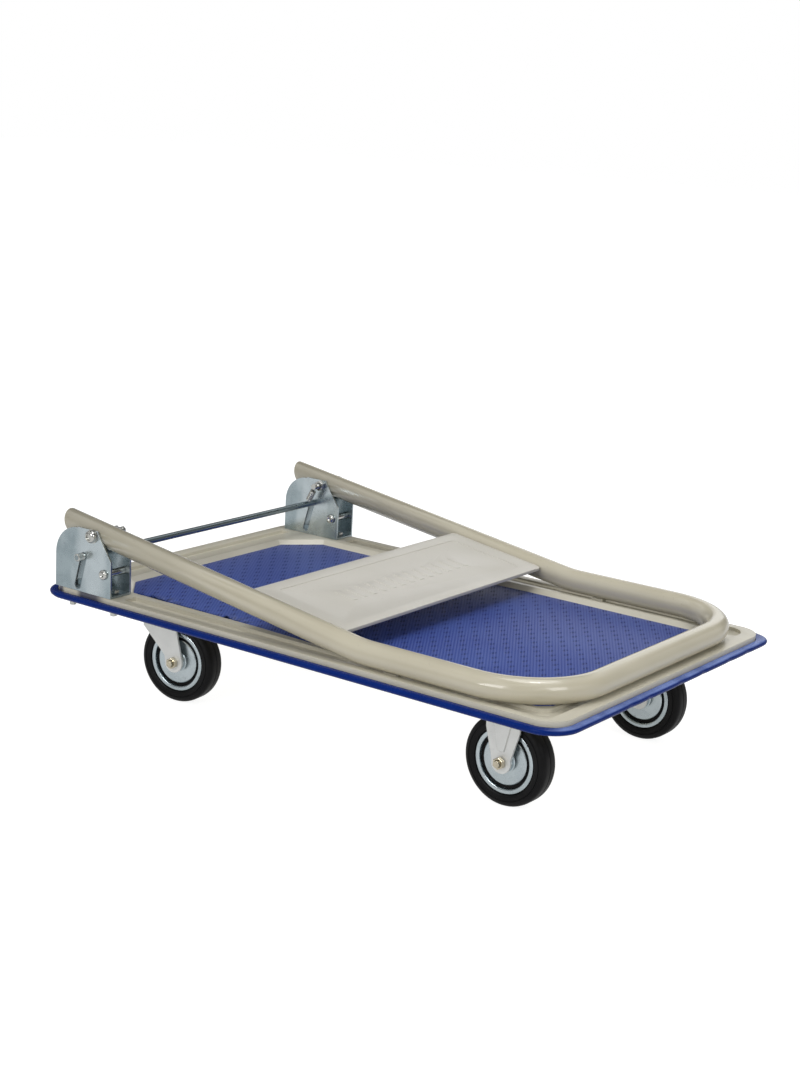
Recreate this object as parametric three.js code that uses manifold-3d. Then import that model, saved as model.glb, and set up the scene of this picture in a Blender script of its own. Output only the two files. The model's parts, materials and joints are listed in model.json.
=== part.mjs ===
// Flatbed platform truck with a folding handle. Millimetres, +Z up, floor at z = 0.
// X runs along the deck with the hinge end at -X, Y runs across it, +Y is the left side.
import * as THREE from 'three';
import { mergeVertices } from 'three/addons/utils/BufferGeometryUtils.js';
import Module from 'manifold-3d';

const wasm = await Module();
wasm.setup();

// ---- Driving dimensions ----
const GAP = 0.3; // air kept between neighbouring pieces
const SIDES = [['left', 1], ['right', -1]];

const DECK = {
  halfLength: 360, halfWidth: 230, cornerRadius: 30,
  skirtBottom: 121, rimTop: 135, floorTop: 128.2, floorUnderside: 126.8,
  skirtThickness: 2.5, beadWidth: 12, beadUnderside: 132.8,
};
const GROOVE = { outerX: 343, outerY: 219, innerX: 329, innerY: 200, bottom: 131, outerRadius: 22, innerRadius: 12 };
const MAT = { hingeEnd: -305, frontEnd: 317, halfWidth: 187, top: 130, slope: 7 };
const BUMPER = { overhang: 10, bottom: 121.7, top: 129.4, cornerRadius: 39 };
const BRACKET = {
  back: -347, front: -256, bottom: 135.3, top: 213, y: 213, width: 34, plate: 2.2,
  arcCentreX: -311, arcCentreZ: 176, arcRadius: 36, shoulderX: -280, noseZ: 180,
};
const PIVOT = { x: -286, z: 206, boltRadius: 4, holeRadius: 4.4 };
const BAR = { x: -300.4, z: 179.2, radius: 4, halfLength: 242, travel: 38, slotRadius: 4.4 };
const SLOT_DIRECTION = new THREE.Vector2(-0.257, -0.966).normalize();
const STOP = { x: -267, z: 163, sleeveRadius: 4.5, headRadius: 6 };
const BASE_BOLTS = [['rear', -335], ['front', -267]];
const TUBE = {
  radius: 14, wall: 1.8, sides: 16, legY: 213, overrun: 56.5, lowerOverrun: 44.5,
  bendX: 103, bendZ: 149.5, bendRadius: 160, crossbarX: 340.6, cornerRadius: 92,
};
const PANEL = { rear: -68, front: 66, lift: 6.6, sheet: 1.5, flange: 4, halfWidth: 198.5, ribs: 13, ribPitch: 18.5 };
const REST_X = 144;
const WHEEL = { radius: 51, segments: 24, y: 146, halfWidth: 13.5, discRadius: 36.5 };
const FORK = { inner: 16, sheet: 2.5, plateTop: 126.5, plateThickness: 2.5, plateX: 105, plateY: 80 };
const FIXED_X = 255;
const SWIVEL = { x: -250, y: 145, trail: 29, turn: THREE.MathUtils.degToRad(7) };
const AXLE_RADIUS = 4;
const AXLE_NUT_RADIUS = 7;
const AXLE_NUT_HEIGHT = 5;

// ---- Materials ----
const paint = (name, color, roughness, metalness) =>
  new THREE.MeshStandardMaterial({ name, color, roughness, metalness });
const MATERIAL = {
  cream: paint('cream_paint', 0xbcb298, 0.3, 0.0),
  panel: paint('panel_paint', 0xc8c6be, 0.4, 0.0),
  vinyl: paint('blue_vinyl', 0x4a5a96, 0.6, 0.0),
  bumper: paint('blue_bumper', 0x0a2878, 0.3, 0.0),
  zinc: paint('zinc_plate', 0x9aa4ac, 0.35, 0.9),
  steel: paint('bright_steel', 0xc8cccf, 0.25, 1.0),
  tyre: paint('black_rubber', 0x1c1c1e, 0.6, 0.0),
  disc: paint('wheel_plate', 0xafb9c3, 0.4, 0.8),
  bush: paint('bush_plastic', 0x2a2a2a, 0.5, 0.0),
};

// ---- Solids ----
/** Turn a closed three.js geometry into a manifold solid. */
function solid(geometry) {
  const bare = geometry.clone();
  bare.deleteAttribute('normal');
  bare.deleteAttribute('uv');
  const welded = mergeVertices(bare, 1e-4);
  const corners = [...welded.index.array];
  const triVerts = corners.filter((_, i) => {
    const [a, b, c] = corners.slice(i - (i % 3), i - (i % 3) + 3);
    return a !== b && b !== c && c !== a;
  });
  return new wasm.Manifold(new wasm.Mesh({
    numProp: 3,
    vertProperties: new Float32Array(welded.attributes.position.array),
    triVerts: new Uint32Array(triVerts),
  }));
}

/** Turn a manifold solid back into a geometry with flat-shading normals. */
function geometryOf(body) {
  const mesh = body.getMesh();
  const geometry = new THREE.BufferGeometry();
  geometry.setAttribute('position', new THREE.BufferAttribute(new Float32Array(mesh.vertProperties), 3));
  geometry.setIndex(new THREE.BufferAttribute(new Uint32Array(mesh.triVerts), 1));
  geometry.computeVertexNormals();
  return geometry;
}

const box = (x0, x1, y0, y1, z0, z1) => solid(
  new THREE.BoxGeometry(x1 - x0, y1 - y0, z1 - z0).translate((x0 + x1) / 2, (y0 + y1) / 2, (z0 + z1) / 2));

/** Round bar along Y between two widths. */
const rodY = (x, z, radius, y0, y1, sides = 16) => solid(
  new THREE.CylinderGeometry(radius, radius, y1 - y0, sides).translate(x, (y0 + y1) / 2, z));

/** Round bar along Z between two heights. */
const rodZ = (x, y, radius, z0, z1, sides = 16) => solid(
  new THREE.CylinderGeometry(radius, radius, z1 - z0, sides).rotateX(Math.PI / 2).translate(x, y, (z0 + z1) / 2));

/** Outline drawn in X and Y, given thickness along Z. */
const slab = (shape, z0, z1, curveSegments = 3) => solid(
  new THREE.ExtrudeGeometry(shape, { depth: z1 - z0, bevelEnabled: false, curveSegments }).translate(0, 0, z0));

/** Outline drawn in X and Z, given thickness along Y. */
const cheek = (shape, y0, y1, curveSegments = 6) => solid(
  new THREE.ExtrudeGeometry(shape, { depth: y1 - y0, bevelEnabled: false, curveSegments })
    .rotateX(Math.PI / 2).translate(0, y1, 0));

/** Solid of revolution about the Y axis; a profile that doesn't lie on the axis is closed on itself. */
function turned(points, segments) {
  const closed = points[0][0] === 0 ? points : [...points, points[0]];
  const profile = closed.map(([radius, y]) => new THREE.Vector2(radius, y));
  return solid(new THREE.LatheGeometry(profile, segments).rotateY(Math.PI / segments));
}

/** Rectangle with round corners, drawn from x0 to x1 and across -halfY to halfY. */
function roundedRect(x0, x1, halfY, radius) {
  const shape = new THREE.Shape();
  shape.moveTo(x0 + radius, -halfY);
  shape.lineTo(x1 - radius, -halfY);
  shape.absarc(x1 - radius, -halfY + radius, radius, -Math.PI / 2, 0);
  shape.lineTo(x1, halfY - radius);
  shape.absarc(x1 - radius, halfY - radius, radius, 0, Math.PI / 2);
  shape.lineTo(x0 + radius, halfY);
  shape.absarc(x0 + radius, halfY - radius, radius, Math.PI / 2, Math.PI);
  shape.lineTo(x0, -halfY + radius);
  shape.absarc(x0 + radius, -halfY + radius, radius, Math.PI, 1.5 * Math.PI);
  return shape;
}

const root = new THREE.Group();

/** Add one solid to a group as a named mesh. */
function add(group, name, body, material) {
  const mesh = new THREE.Mesh(geometryOf(body), material);
  mesh.name = name;
  group.add(mesh);
  return mesh;
}

// ---- Deck ----
/** Mat outline: straight sides, with the hinge-end corners cut round the bracket pads. */
function matShape(inset) {
  const side = MAT.halfWidth - inset;
  const end = MAT.hingeEnd + inset;
  const front = MAT.frontEnd - inset;
  const rearSide = side - 6;
  const half = [[end, 138], [-267, rearSide], [-60, rearSide], [60, side], [front - 8, side], [front, side - 8]];
  const mirrored = half.map(([x, y]) => [x, -y]);
  const shape = new THREE.Shape();
  [...mirrored, ...half.reverse()].forEach(([x, y], i) => (i ? shape.lineTo(x, y) : shape.moveTo(x, y)));
  return shape;
}

function deckTray() {
  const { halfLength: hx, halfWidth: hy, cornerRadius: r } = DECK;
  const outer = slab(roundedRect(-hx, hx, hy, r), DECK.skirtBottom, DECK.rimTop, 5);
  const under = (inset, top) => slab(
    roundedRect(-hx + inset, hx - inset, hy - inset, r - inset), DECK.skirtBottom - 1, top, 5);
  const skirt = DECK.skirtThickness;
  const beadRing = under(skirt, DECK.beadUnderside).subtract(under(DECK.beadWidth, DECK.beadUnderside + 1));
  const g = GROOVE;
  const groove = slab(roundedRect(-g.outerX, g.outerX, g.outerY, g.outerRadius), g.bottom, 140)
    .subtract(slab(roundedRect(-g.innerX, g.innerX, g.innerY, g.innerRadius), g.bottom - 1, 141));
  const pads = SIDES.map(([, s]) => box(
    BRACKET.back - 6, BRACKET.front + 12, ...[s * 186, s * 222].sort((a, b) => a - b), g.bottom - 1, 142));
  const recess = solid(new THREE.ExtrudeGeometry(matShape(0), {
    depth: 8, bevelEnabled: true, bevelThickness: DECK.rimTop - DECK.floorTop, bevelSize: MAT.slope, bevelSegments: 1,
  }).translate(0, 0, DECK.rimTop));
  let tray = outer.subtract(under(skirt, DECK.floorUnderside)).subtract(beadRing);
  tray = tray.subtract(groove.subtract(pads[0]).subtract(pads[1])).subtract(recess);
  for (const [, s] of SIDES) {
    for (const [, x] of BASE_BOLTS) {
      tray = tray.subtract(rodZ(x, s * BRACKET.y, 4.4, 120, 140));
    }
  }
  return tray;
}

function deckBumper() {
  const { halfLength: hx, halfWidth: hy, cornerRadius: r } = DECK;
  const round = 3;
  const reach = BUMPER.overhang - round;
  const shape = roundedRect(-hx - reach, hx + reach, hy + reach, BUMPER.cornerRadius - round);
  const strip = solid(new THREE.ExtrudeGeometry(shape, {
    depth: BUMPER.top - BUMPER.bottom - 2 * round, bevelEnabled: true, bevelThickness: round, bevelSize: round,
    bevelSegments: 2, curveSegments: 5,
  }).translate(0, 0, BUMPER.bottom + round));
  return strip.subtract(slab(roundedRect(-hx - GAP, hx + GAP, hy + GAP, r + GAP), 110, 150, 5));
}

/** Pressed hat channel under the deck, open downwards, running across it. */
function stiffener() {
  const top = DECK.floorUnderside - GAP;
  const outer = box(-35, 35, -195, 195, top - 9, top);
  const inner = box(-32.5, 32.5, -200, 200, top - 10, top - 2);
  const flanges = box(-48, -32.5, -195, 195, top - 9, top - 7).add(box(32.5, 48, -195, 195, top - 9, top - 7));
  return outer.subtract(inner).add(flanges);
}

add(root, 'deck_tray', deckTray(), MATERIAL.cream);
add(root, 'deck_mat', slab(matShape(0.5), DECK.floorTop + GAP, MAT.top), MATERIAL.vinyl);
add(root, 'deck_bumper', deckBumper(), MATERIAL.bumper);
for (const [name, x] of [['rear', -115], ['front', 115]]) {
  add(root, `stiffener_${name}`, stiffener(), MATERIAL.cream).position.x = x;
}

// ---- Hinge brackets, their fasteners and the foot bar ----
function bracketOutline() {
  const b = BRACKET;
  const shape = new THREE.Shape();
  shape.moveTo(b.front, b.bottom);
  shape.lineTo(b.front, b.noseZ);
  shape.lineTo(b.shoulderX, b.top);
  shape.lineTo(b.arcCentreX, b.top);
  shape.absarc(b.arcCentreX, b.arcCentreZ, b.arcRadius, Math.PI / 2, Math.PI);
  shape.lineTo(b.back, b.bottom);
  return shape;
}

/** Slot outline with round ends that the foot bar runs in. */
function slotCutter() {
  const centre = new THREE.Vector2(BAR.x, BAR.z);
  const end = centre.clone().addScaledVector(SLOT_DIRECTION, BAR.travel);
  const angle = SLOT_DIRECTION.angle();
  const shape = new THREE.Shape();
  shape.absarc(end.x, end.y, BAR.slotRadius, angle - Math.PI / 2, angle + Math.PI / 2);
  shape.absarc(centre.x, centre.y, BAR.slotRadius, angle + Math.PI / 2, angle + 1.5 * Math.PI);
  return cheek(shape, -40, 40, 4);
}

function hingeBracket() {
  const b = BRACKET;
  const half = b.width / 2;
  let body = cheek(bracketOutline(), -half, half);
  body = body.subtract(box(b.back - 5, b.front + 5, -half + b.plate, half - b.plate, b.bottom + b.plate, b.top + 10));
  body = body.subtract(slotCutter());
  body = body.subtract(rodY(PIVOT.x, PIVOT.z, PIVOT.boltRadius + 0.35, -40, 40));
  body = body.subtract(rodY(STOP.x, STOP.z, 3.4, -40, 40));
  for (const [, x] of BASE_BOLTS) {
    body = body.subtract(rodZ(x, 0, 4.4, b.bottom - 2, b.bottom + b.plate + 2));
  }
  return body;
}

/** Bolt along +Y outwards: domed head outside, shank through bracket and tube, hook groove at the inner end. */
function pivotBolt() {
  const face = BRACKET.width / 2 + GAP;
  const shank = PIVOT.boltRadius;
  return turned([[0, -34], [shank, -34], [shank, -31], [3, -30.5], [3, -28], [shank, -27.5],
    [shank, face], [8, face], [8, face + 3], [6.2, face + 6.5], [3, face + 8], [0, face + 8]], 12);
}

const hexNut = (radius, hole, thickness) => solid(new THREE.CylinderGeometry(radius, radius, thickness, 6))
  .subtract(solid(new THREE.CylinderGeometry(hole, hole, thickness + 2, 16)));

/** Rivetted cross pin: sleeve between the plates and a round head on each outer face. */
function stopPin() {
  const inner = BRACKET.width / 2 - BRACKET.plate - GAP;
  const outer = BRACKET.width / 2 + GAP;
  const half = [[STOP.sleeveRadius, inner], [3, inner], [3, outer], [STOP.headRadius, outer],
    [STOP.headRadius, outer + 1.5], [4.6, outer + 3], [0, outer + 3.4]];
  const mirrored = half.map(([radius, y]) => [radius, -y]).reverse();
  return turned([...mirrored, ...half], 12);
}

/** Bolt standing up through the tray and the bracket base, head on top. */
function bracketBolt() {
  const seat = BRACKET.bottom + BRACKET.plate + GAP;
  return rodZ(0, 0, 6.5, seat, seat + 4.5, 6).add(rodZ(0, 0, 4, 110, seat + 1, 16));
}

/** Close-wound extension spring body with a straight hook shank at each end, lying along Z. */
function barSpring() {
  return rodZ(0, 0, 4.2, -8.5, 8.5, 14).add(rodZ(0, 0, 1, -10.8, 10.8, 8));
}

for (const [side, s] of SIDES) {
  const group = new THREE.Group();
  group.position.y = s * BRACKET.y;
  root.add(group);
  add(group, `hinge_bracket_${side}`, hingeBracket(), MATERIAL.zinc);
  const bolt = add(group, `pivot_bolt_${side}`, pivotBolt(), MATERIAL.steel);
  bolt.position.set(PIVOT.x, 0, PIVOT.z);
  bolt.rotation.x = s > 0 ? 0 : Math.PI;
  const nut = add(group, `pivot_nut_${side}`, hexNut(7, PIVOT.boltRadius + GAP, 6), MATERIAL.steel);
  nut.position.set(PIVOT.x, -s * (BRACKET.width / 2 + 3 + GAP), PIVOT.z);
  add(group, `stop_pin_${side}`, stopPin(), MATERIAL.steel).position.set(STOP.x, 0, STOP.z);
  for (const [where, x] of BASE_BOLTS) {
    add(group, `bracket_bolt_${where}_${side}`, bracketBolt(), MATERIAL.steel).position.x = x;
    const below = add(group, `bracket_nut_${where}_${side}`, hexNut(7.2, 4.3, 6.4), MATERIAL.steel);
    below.rotation.x = Math.PI / 2;
    below.position.set(x, 0, DECK.floorUnderside - GAP - 3.2);
  }
  const top = new THREE.Vector2(PIVOT.x, PIVOT.z);
  const low = new THREE.Vector2(BAR.x, BAR.z);
  const spring = add(group, `bar_spring_${side}`, barSpring(), MATERIAL.steel);
  const middle = top.clone().lerp(low, 0.5);
  spring.position.set(middle.x, -s * 29.25, middle.y);
  spring.rotation.y = Math.atan2(top.x - low.x, top.y - low.y);
}
const footBar = rodY(0, 0, BAR.radius, -BAR.halfLength, BAR.halfLength, 16);
add(root, 'foot_bar', footBar, MATERIAL.zinc).position.set(BAR.x, 0, BAR.z);

// ---- Handle ----
/** Curve whose points and tangents are the given stations, so that straight runs need only two of them. */
class StationCurve extends THREE.Curve {
  constructor(stations) {
    super();
    this.stations = stations;
  }

  at(t) {
    return this.stations[Math.round(t * (this.stations.length - 1))];
  }

  getUtoTmapping(u) {
    return u;
  }

  getPoint(t, target = new THREE.Vector3()) {
    return target.copy(this.at(t).point);
  }

  getTangent(t, target = new THREE.Vector3()) {
    return target.copy(this.at(t).tangent);
  }
}

/** Points and tangents along a fillet arc between two straight runs that meet at a corner. */
function fillet(corner, before, after, radius, steps) {
  const turn = before.angleTo(after);
  const reach = radius * Math.tan(turn / 2);
  const start = corner.clone().addScaledVector(before, -reach);
  const inward = after.clone().addScaledVector(before, -before.dot(after)).normalize();
  return Array.from({ length: steps + 1 }, (_, i) => {
    const angle = (turn * i) / steps;
    return {
      point: start.clone().addScaledVector(before, radius * Math.sin(angle))
        .addScaledVector(inward, radius * (1 - Math.cos(angle))),
      tangent: before.clone().multiplyScalar(Math.cos(angle)).addScaledVector(inward, Math.sin(angle)),
    };
  });
}

/** Centre line of the handle from the left tube end to the right one; the ends run on by `extra`. */
function handleStations(extra) {
  const down = new THREE.Vector3(TUBE.bendX - PIVOT.x, 0, TUBE.bendZ - PIVOT.z).normalize();
  const along = new THREE.Vector3(1, 0, 0);
  const across = new THREE.Vector3(0, -1, 0);
  const flip = (v) => new THREE.Vector3(v.x, -v.y, v.z);
  const end = new THREE.Vector3(PIVOT.x, TUBE.legY, PIVOT.z).addScaledVector(down, -(TUBE.overrun + extra));
  const bend = new THREE.Vector3(TUBE.bendX, TUBE.legY, TUBE.bendZ);
  const corner = new THREE.Vector3(TUBE.crossbarX, TUBE.legY, TUBE.bendZ);
  const left = [{ point: end, tangent: down }, ...fillet(bend, down, along, TUBE.bendRadius, 2),
    ...fillet(corner, along, across, TUBE.cornerRadius, 7)];
  const right = [...left].reverse().map(({ point, tangent }) => ({
    point: flip(point), tangent: flip(tangent).multiplyScalar(-1) }));
  return [...left, ...right];
}

function sweptTube(radius, extra) {
  const stations = handleStations(extra);
  const ring = new THREE.Shape();
  ring.absarc(0, 0, radius, 0, 2 * Math.PI);
  return solid(new THREE.ExtrudeGeometry(ring, {
    steps: stations.length - 1, curveSegments: TUBE.sides / 2, extrudePath: new StationCurve(stations) }));
}

/** Block that trims the short end of both legs to a slant, its lower edge being the shorter one. */
function endTrimmer() {
  const slope = Math.atan2(PIVOT.z - TUBE.bendZ, TUBE.bendX - PIVOT.x);
  const slant = Math.atan2(TUBE.overrun - TUBE.lowerOverrun, 2 * TUBE.radius);
  const middle = (TUBE.overrun + TUBE.lowerOverrun) / 2;
  const block = new THREE.BoxGeometry(40, 600, 120).translate(-20, 0, 0).rotateY(-slant)
    .translate(-middle, 0, 0).rotateY(slope).translate(PIVOT.x, 0, PIVOT.z);
  return solid(block);
}

function handleTube() {
  const wall = sweptTube(TUBE.radius, 0).subtract(sweptTube(TUBE.radius - TUBE.wall, 20));
  return wall.subtract(endTrimmer()).subtract(rodY(PIVOT.x, PIVOT.z, PIVOT.holeRadius, -240, 240));
}

/** Pressed panel between the legs, built flat with its top at z = 0 and then laid on the slope. */
function handlePanel() {
  const slope = Math.atan2(PIVOT.z - TUBE.bendZ, TUBE.bendX - PIVOT.x);
  const length = (PANEL.front - PANEL.rear) / Math.cos(slope);
  const w = PANEL.halfWidth;
  const outer = slab(roundedRect(-length / 2, length / 2, w, 6), -PANEL.flange, 0);
  const hollow = box(
    -length / 2 + PANEL.sheet, length / 2 - PANEL.sheet, -w - 1, w + 1, -PANEL.flange - 1, -PANEL.sheet);
  const field = slab(roundedRect(-length / 2 + 17, length / 2 - 17, w - 26, 7), -0.8, 1);
  let panel = outer.subtract(hollow).subtract(field);
  for (let i = 0; i < PANEL.ribs; i += 1) {
    const y = (i - (PANEL.ribs - 1) / 2) * PANEL.ribPitch;
    panel = panel.add(box(-14, 14, y - 4, y + 4, -1.2, -0.1));
  }
  const middleX = (PANEL.front + PANEL.rear) / 2;
  const middleZ = PIVOT.z - (middleX - PIVOT.x) * Math.tan(slope);
  return panel.rotate([0, THREE.MathUtils.radToDeg(slope), 0])
    .translate([middleX + PANEL.lift * Math.sin(slope), 0, middleZ + PANEL.lift * Math.cos(slope)]);
}

add(root, 'handle_tube', handleTube(), MATERIAL.cream);
add(root, 'handle_panel', handlePanel(), MATERIAL.panel);
for (const [side, s] of SIDES) {
  const pad = box(REST_X - 8, REST_X + 8, -5, 5, GROOVE.bottom + GAP, TUBE.bendZ - TUBE.radius - GAP);
  add(root, `handle_rest_${side}`, pad, MATERIAL.cream).position.y = s * TUBE.legY;
}

// ---- Casters ----
/** Leg outline in X and Z: a tapering cheek that is round about the axle. */
function legOutline(topRear, topFront, topZ, axleX, rear) {
  const shape = new THREE.Shape();
  shape.moveTo(topFront, topZ);
  shape.lineTo(topRear, topZ);
  rear.forEach(([x, z]) => shape.lineTo(x, z));
  shape.absarc(axleX, WHEEL.radius, 12.5, Math.PI * 1.15, Math.PI * 2.1);
  shape.lineTo(topFront, 88);
  return shape;
}

/** Two cheeks with axle holes. */
function forkLegs(outline, axleX) {
  const outer = FORK.inner + FORK.sheet;
  return cheek(outline, -outer, -FORK.inner).add(cheek(outline, FORK.inner, outer))
    .subtract(rodY(axleX, WHEEL.radius, AXLE_RADIUS + GAP, -30, 30));
}

function topPlate() {
  const { plateX, plateY, plateTop, plateThickness } = FORK;
  return slab(roundedRect(-plateX / 2, plateX / 2, plateY / 2, 6), plateTop - plateThickness, plateTop, 2);
}

function fixedFork() {
  const bottom = FORK.plateTop - FORK.plateThickness;
  const legs = forkLegs(legOutline(-21.5, 21.5, bottom + 0.5, 0, [[-21, 87], [-12.5, 56]]), 0);
  const ribs = [-1, 1].map((s) => cheek(ribOutline(), ...[s * 18, s * 20.3].sort((a, b) => a - b)));
  return topPlate().add(legs).add(ribs[0]).add(ribs[1]);
}

/** Tapered rib pressed outwards in the cheek of a fixed fork. */
function ribOutline() {
  return new THREE.Shape([[-13, 104], [13, 104], [4, 64], [-4, 64]].map(([x, z]) => new THREE.Vector2(x, z)));
}

function swivelPlate() {
  const bottom = FORK.plateTop - FORK.plateThickness;
  const cup = solid(new THREE.CylinderGeometry(33, 27, 10, 20).rotateX(-Math.PI / 2).translate(0, 0, bottom - 4.5));
  return topPlate().add(cup).subtract(rodZ(0, 0, 5.4, 100, 130));
}

/** Swivelling fork in the caster's own frame: kingpin on the Z axis, axle behind it along +X. */
function swivelFork() {
  const crownTop = 114;
  const legs = forkLegs(legOutline(-16, 33, crownTop - 1, SWIVEL.trail, [[-16, 90], [16, 58]]), SWIVEL.trail);
  const bridge = box(-20, 33, -FORK.inner - FORK.sheet, FORK.inner + FORK.sheet, crownTop - 3, crownTop);
  const crown = rodZ(0, 0, 31, crownTop - 5, crownTop, 20);
  return crown.add(bridge).add(legs).subtract(rodZ(0, 0, 5.4, 90, 130));
}

const kingpin = () => rodZ(0, 0, 10, 102.5, 108.5, 6).add(rodZ(0, 0, 5, 104, 124, 16));

/** Axle bolt along Y with its hex head on the +Y side. */
function axle() {
  const face = FORK.inner + FORK.sheet + GAP;
  return rodY(0, 0, AXLE_RADIUS, -face - 8.5, face + 1, 16).add(rodY(0, 0, AXLE_NUT_RADIUS, face, face + 5, 6));
}

function tyre() {
  const scale = 1 / Math.cos(Math.PI / WHEEL.segments);
  const side = [[WHEEL.discRadius + GAP, 12], [43, 13.5], [48, 12.4], [51, 8]];
  const mirrored = side.map(([radius, y]) => [radius, -y]).reverse();
  return turned([...side, ...mirrored].map(([radius, y]) => [radius * scale, y]).reverse(), WHEEL.segments);
}

function wheelDisc() {
  const side = [[6.4, 14.4], [11, 14.4], [12.5, 10], [26.7, 10], [28.4, 8], [30.3, 12], [WHEEL.discRadius, 12]];
  const mirrored = side.map(([radius, y]) => [radius, -y]).reverse();
  return turned([...side, ...mirrored].reverse(), 20);
}

const hubBush = () => turned([[AXLE_RADIUS + GAP, -15.6], [6.1, -15.6], [6.1, 15.6], [AXLE_RADIUS + GAP, 15.6]], 12);

/** Wheel, axle and nut about the axle line of the given group. */
function addWheel(group, place, x, s) {
  const wheel = new THREE.Group();
  wheel.position.set(x, 0, WHEEL.radius);
  group.add(wheel);
  add(wheel, `tyre_${place}`, tyre(), MATERIAL.tyre);
  add(wheel, `wheel_disc_${place}`, wheelDisc(), MATERIAL.disc);
  add(wheel, `hub_bush_${place}`, hubBush(), MATERIAL.bush);
  add(wheel, `axle_${place}`, axle(), MATERIAL.steel).rotation.z = s > 0 ? Math.PI : 0;
  const nut = add(wheel, `axle_nut_${place}`, hexNut(AXLE_NUT_RADIUS, AXLE_RADIUS + GAP, AXLE_NUT_HEIGHT), MATERIAL.steel);
  nut.position.y = s * (FORK.inner + FORK.sheet + 2 * GAP + AXLE_NUT_HEIGHT / 2);
}

for (const [side, s] of SIDES) {
  const fixed = new THREE.Group();
  fixed.position.set(FIXED_X, s * WHEEL.y, 0);
  root.add(fixed);
  add(fixed, `fixed_fork_${side}`, fixedFork(), MATERIAL.zinc);
  addWheel(fixed, `front_${side}`, 0, s);

  const mount = new THREE.Group();
  mount.position.set(SWIVEL.x, s * SWIVEL.y, 0);
  root.add(mount);
  add(mount, `swivel_plate_${side}`, swivelPlate(), MATERIAL.zinc);
  add(mount, `kingpin_${side}`, kingpin(), MATERIAL.steel);
  const turning = new THREE.Group();
  turning.rotation.z = SWIVEL.turn;
  mount.add(turning);
  add(turning, `swivel_fork_${side}`, swivelFork(), MATERIAL.zinc);
  addWheel(turning, `rear_${side}`, SWIVEL.trail, s);
}

export default root;
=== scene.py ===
"""Folding platform truck: detailed pieces and finishes built over the fixed frame."""

import json
import logging
import math
from dataclasses import dataclass, field
from enum import Enum
from typing import Iterable, Sequence

import bmesh
import bpy
from mathutils import Matrix, Vector


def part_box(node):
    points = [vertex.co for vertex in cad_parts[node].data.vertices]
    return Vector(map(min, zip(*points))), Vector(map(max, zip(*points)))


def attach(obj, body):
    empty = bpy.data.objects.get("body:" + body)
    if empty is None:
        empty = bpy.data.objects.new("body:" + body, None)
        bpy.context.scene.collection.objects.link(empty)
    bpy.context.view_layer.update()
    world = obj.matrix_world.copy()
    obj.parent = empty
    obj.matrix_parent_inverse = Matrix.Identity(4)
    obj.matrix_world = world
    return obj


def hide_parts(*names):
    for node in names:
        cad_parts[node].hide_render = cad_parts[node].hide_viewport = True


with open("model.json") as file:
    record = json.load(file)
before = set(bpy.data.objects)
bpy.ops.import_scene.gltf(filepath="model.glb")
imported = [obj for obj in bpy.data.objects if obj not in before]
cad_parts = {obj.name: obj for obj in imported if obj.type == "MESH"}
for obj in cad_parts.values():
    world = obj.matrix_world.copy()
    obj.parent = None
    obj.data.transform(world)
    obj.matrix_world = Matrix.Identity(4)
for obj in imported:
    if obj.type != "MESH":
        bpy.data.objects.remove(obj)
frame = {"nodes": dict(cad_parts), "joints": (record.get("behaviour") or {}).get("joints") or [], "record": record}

LOG = logging.getLogger("platform_truck")
MM = 0.001
FULL_TURN = 2.0 * math.pi
MAT_TUNNELS = (-227.0, -115.0)
LEG_Y = 213.0
Socket = bpy.types.NodeSocket
Node = bpy.types.Node


class Side(Enum):
    """The two long sides of the deck."""

    LEFT = 1
    RIGHT = -1

    @property
    def label(self) -> str:
        """Lower-case name used in node names."""
        return self.name.lower()


class End(Enum):
    """The two ends of the deck."""

    REAR = "rear"
    FRONT = "front"


# ---------------------------------------------------------------------------
# Shader graph
# ---------------------------------------------------------------------------


class Signal:
    """A shader socket that takes part in Python expressions."""

    def __init__(self, graph: "Graph", socket: Socket) -> None:
        """Wrap one output socket of a graph."""
        self.graph = graph
        self.socket = socket

    def _math(self, operation: str, *operands: "Signal | float") -> "Signal":
        """Add a Math node.

        Args:
            operation: The Math node's operation.
            operands: Its inputs in order.

        Returns:
            The node's result.
        """
        inputs = {index: value for index, value in enumerate(operands)}
        return self.graph.add("ShaderNodeMath", {"operation": operation}, inputs)

    def __add__(self, other: "Signal | float") -> "Signal":
        """Sum."""
        return self._math("ADD", self, other)

    def __sub__(self, other: "Signal | float") -> "Signal":
        """Difference."""
        return self._math("SUBTRACT", self, other)

    def __rsub__(self, other: float) -> "Signal":
        """Difference from a number."""
        return self._math("SUBTRACT", other, self)

    def __mul__(self, other: "Signal | float") -> "Signal":
        """Product."""
        return self._math("MULTIPLY", self, other)

    def __truediv__(self, other: "Signal | float") -> "Signal":
        """Quotient."""
        return self._math("DIVIDE", self, other)

    def __gt__(self, other: "Signal | float") -> "Signal":
        """One where this is greater, else zero."""
        return self._math("GREATER_THAN", self, other)

    def __lt__(self, other: "Signal | float") -> "Signal":
        """One where this is less, else zero."""
        return self._math("LESS_THAN", self, other)

    def __abs__(self) -> "Signal":
        """Absolute value."""
        return self._math("ABSOLUTE", self)

    def fraction(self) -> "Signal":
        """Part after the decimal point."""
        return self._math("FRACT", self)

    def sine(self) -> "Signal":
        """Sine of an angle in radians."""
        return self._math("SINE", self)

    def angle(self, other: "Signal | float") -> "Signal":
        """Angle whose tangent is this over the other."""
        return self._math("ARCTAN2", self, other)

    def largest(self, other: "Signal | float") -> "Signal":
        """Greater of the two."""
        return self._math("MAXIMUM", self, other)

    def ramp(self, low: float, high: float) -> "Signal":
        """Clamped rise from 0 at low to 1 at high."""
        settings = {"clamp": True, "interpolation_type": "SMOOTHSTEP"}
        sockets = {"Value": self, "From Min": low, "From Max": high}
        return self.graph.add("ShaderNodeMapRange", settings, sockets)


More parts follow.
